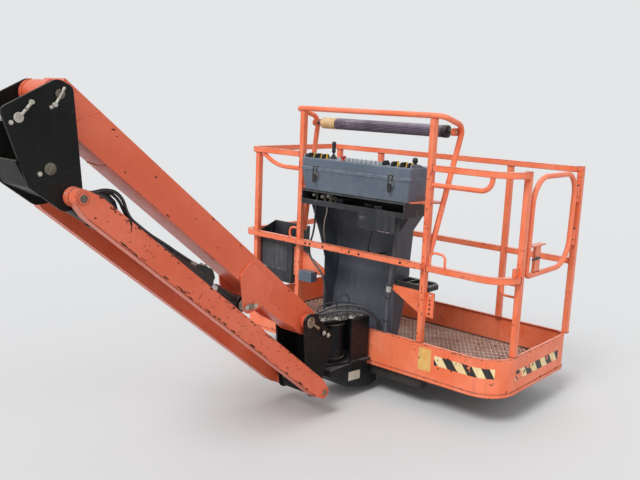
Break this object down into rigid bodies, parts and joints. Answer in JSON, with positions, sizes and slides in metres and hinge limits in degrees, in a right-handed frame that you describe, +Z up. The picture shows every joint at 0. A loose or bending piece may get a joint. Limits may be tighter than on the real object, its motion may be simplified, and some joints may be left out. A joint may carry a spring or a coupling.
{
  "type": "boom lift work platform with jib",
  "caption": "Railed work platform with control console and side gate, turned by a rotator on a parallel jib with lift cylinder and boom-tip bracket.",
  "frame": {"origin": "middle of the boom pin bore, between the two plates of the tip bracket", "axes": "+X along the platform towards its gate, along the boom pin; +Y from the boom towards the platform; +Z up"},
  "size_m": [1.83, 2.9142, 1.6366],
  "materials": {
    "frame_orange": "worn gloss",
    "jib_orange": "worn gloss",
    "black_paint": "satin",
    "steel": "worn",
    "chrome": "polished",
    "deck": "dirty",
    "console_grey": "textured",
    "black_plastic": "textured",
    "roller": "satin",
    "red": "satin",
    "yellow": "gloss",
    "rubber": "matte"
  },
  "bodies": {
    "bracket": {"bracket_plate_near": "black_paint", "bracket_plate_far": "black_paint", "bracket_bottom": "black_paint", "bracket_pins": "steel"},
    "jib": {"jib_tube": "jib_orange", "cylinder_lugs": "jib_orange", "lug_pin_heads": "steel"},
    "links": {"link_near": "jib_orange", "link_far": "jib_orange"},
    "cylinder": {"cylinder_barrel": "black_paint", "cylinder_hose": "rubber"},
    "rod": {"cylinder_rod": "chrome", "rod_end": "black_paint"},
    "head": {"head_plate_near": "black_paint", "head_plate_far": "black_paint", "head_web": "black_paint", "head_pins": "steel", "rotator_housing": "black_paint"},
    "gate": {"gate_hoop": "frame_orange", "gate_latch": "frame_orange", "latch_lever": "black_plastic"},
    "lid": {"control_lid": "console_grey", "joysticks": "black_plastic", "panel_switches": "yellow", "panel_guards": "black_plastic", "panel_toggles": "steel", "stop_button": "red"},
    "platform": {"carrier": "black_paint", "carrier_base": "black_paint", "console_cable": "rubber", "console_column": "console_grey", "console_shelf": "frame_orange", "console_tray": "black_plastic", "control_box": "console_grey", "floor_deck": "deck", "floor_frame": "frame_orange", "gate_fittings": "frame_orange", "guard_roller": "roller", "guard_tube": "frame_orange", "gussets": "frame_orange", "hand_rails": "frame_orange", "harness_rings": "frame_orange", "junction_box": "console_grey", "manual_box": "black_plastic", "mid_rail": "frame_orange", "posts": "frame_orange", "rotator_hose_a": "rubber", "rotator_hose_b": "rubber", "side_cable": "rubber", "support_arms": "black_paint", "toe_board": "frame_orange", "tool_tray": "black_plastic", "top_rail": "frame_orange"}
  },
  "joints": [
    {"name": "jib_lift", "type": "hinge", "parent": "bracket", "child": "jib", "pos_m": [0, 0.154, 0.082], "axis": [1, 0, 0], "range_deg": [0, 109]},
    {"name": "link_follow", "type": "hinge", "parent": "bracket", "child": "links", "pos_m": [0, 0.194, -0.281], "axis": [1, 0, 0], "range_deg": [0, 109]},
    {"name": "head_level", "type": "hinge", "parent": "jib", "child": "head", "pos_m": [0, 1.53146, -1.02155], "axis": [1, 0, 0], "range_deg": [-109, 0]},
    {"name": "cylinder_swing", "type": "hinge", "parent": "bracket", "child": "cylinder", "pos_m": [0, 0.194, -0.281], "axis": [1, 0, 0], "range_deg": [0, 104.41]},
    {"name": "rod_slide", "type": "slide", "parent": "cylinder", "child": "rod", "axis": [0, 0.8453, -0.5342], "range_m": [0, 0.5838]},
    {"name": "platform_rotate", "type": "hinge", "parent": "head", "child": "platform", "pos_m": [0, 1.819, -1.2], "axis": [0, 0, 1], "range_deg": [-90, 90]},
    {"name": "gate_swing", "type": "hinge", "parent": "platform", "child": "gate", "pos_m": [0.894, 2.8027, -0.5], "axis": [0, 0, -1], "range_deg": [0, 85]},
    {"name": "lid_open", "type": "hinge", "parent": "platform", "child": "lid", "pos_m": [-0.01, 2.174, -0.3], "axis": [-1, 0, 0], "range_deg": [0, 60]}
  ],
  "couplings": [
    {"joint": "link_follow", "follows": "jib_lift", "ratio": 1},
    {"joint": "head_level", "follows": "jib_lift", "ratio": -1},
    {"joint": "cylinder_swing", "follows": "jib_lift", "ratio": 0.94875},
    {"joint": "rod_slide", "follows": "jib_lift", "m_per_rad": 0.30476}
  ]
}
